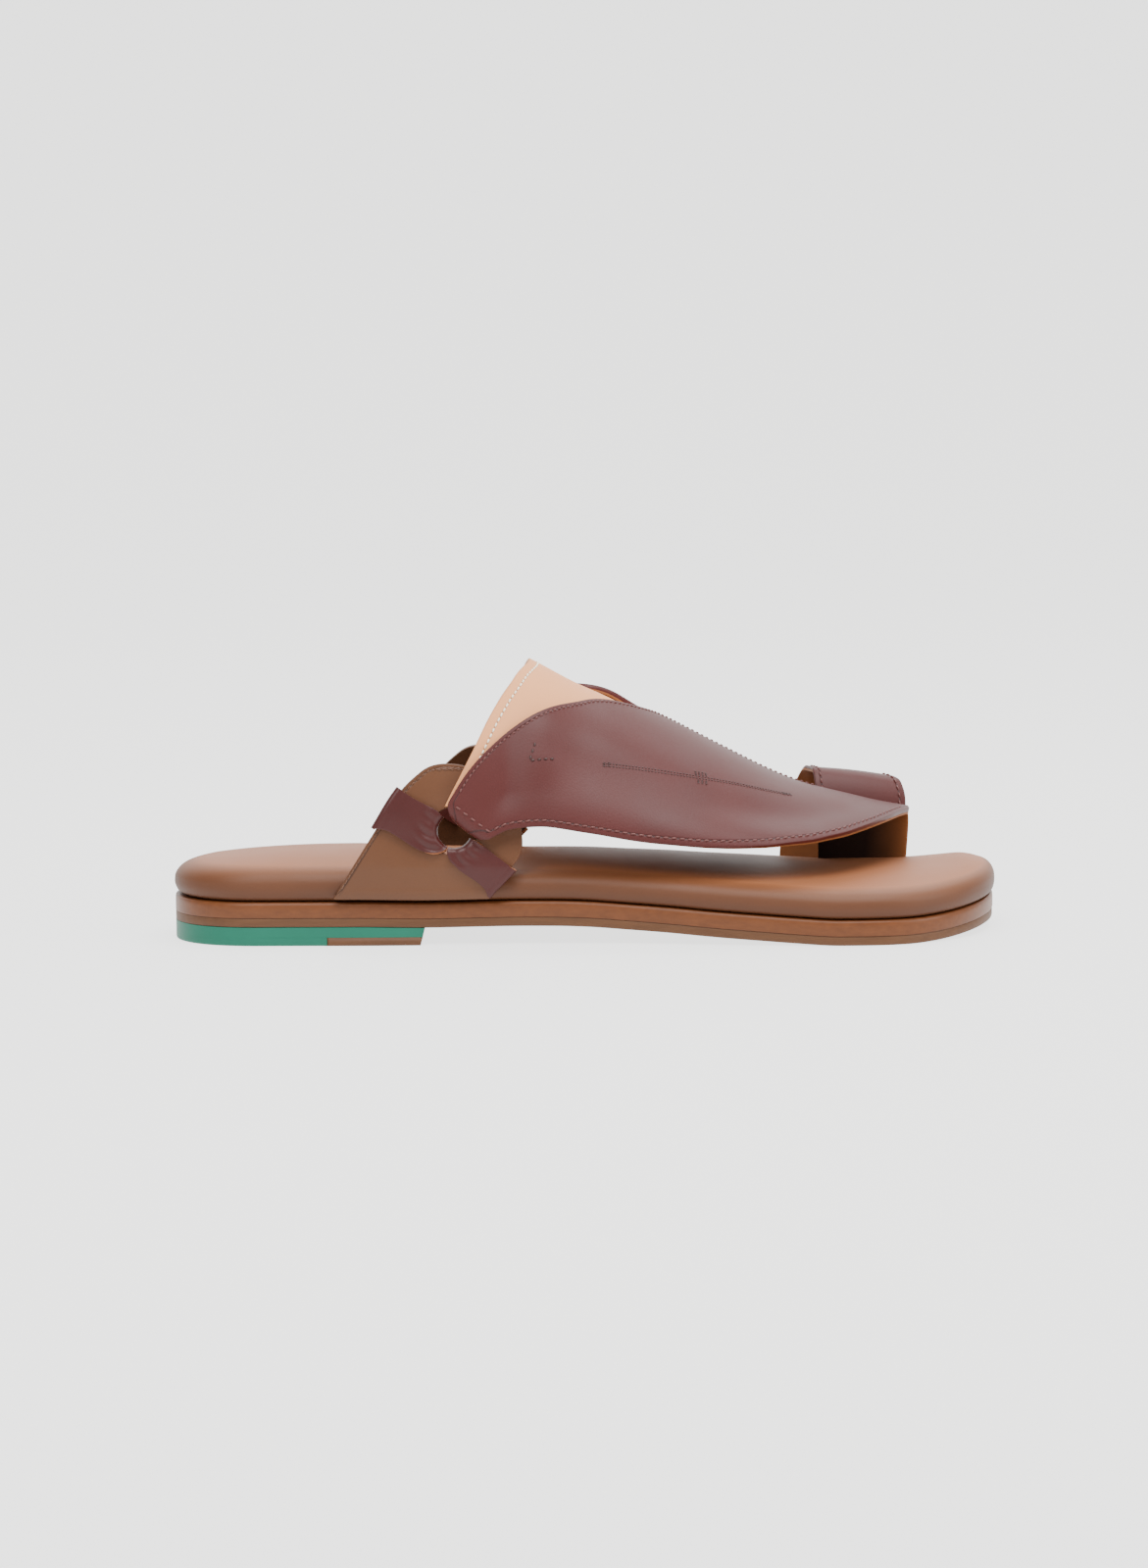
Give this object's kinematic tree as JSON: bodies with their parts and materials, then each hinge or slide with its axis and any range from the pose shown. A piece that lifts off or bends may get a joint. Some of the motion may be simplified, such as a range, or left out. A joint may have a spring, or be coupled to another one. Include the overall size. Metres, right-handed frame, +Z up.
{
  "type": "arabic sandal",
  "caption": "Flat leather sandal, right shoe, with two wings folded over the instep, side rings held by tabs, a toe loop and a low heel.",
  "frame": {"origin": "centre of the overall box at floor level, under the sole", "axes": "+X from heel to toe, +Y to the inner side of the foot, +Z up"},
  "size_m": [0.28, 0.1024, 0.0932],
  "materials": {
    "heel": "satin",
    "outsole": "satin",
    "welt": "satin",
    "footbed": "satin",
    "wing": "satin",
    "panel": "satin",
    "tab": "satin",
    "band": "satin",
    "loop": "satin"
  },
  "bodies": {
    "root": {"heel_block": "heel", "heel_top_piece": "outsole", "outsole": "outsole", "midsole": "welt", "footbed": "footbed", "upper": "wing", "instep_panel": "panel", "side_tab_lateral": "tab", "side_tab_medial": "tab", "ring_band_rear_lateral": "band", "ring_band_front_lateral": "band", "ring_band_rear_medial": "band", "ring_band_front_medial": "band", "toe_loop": "loop"}
  },
  "joints": []
}
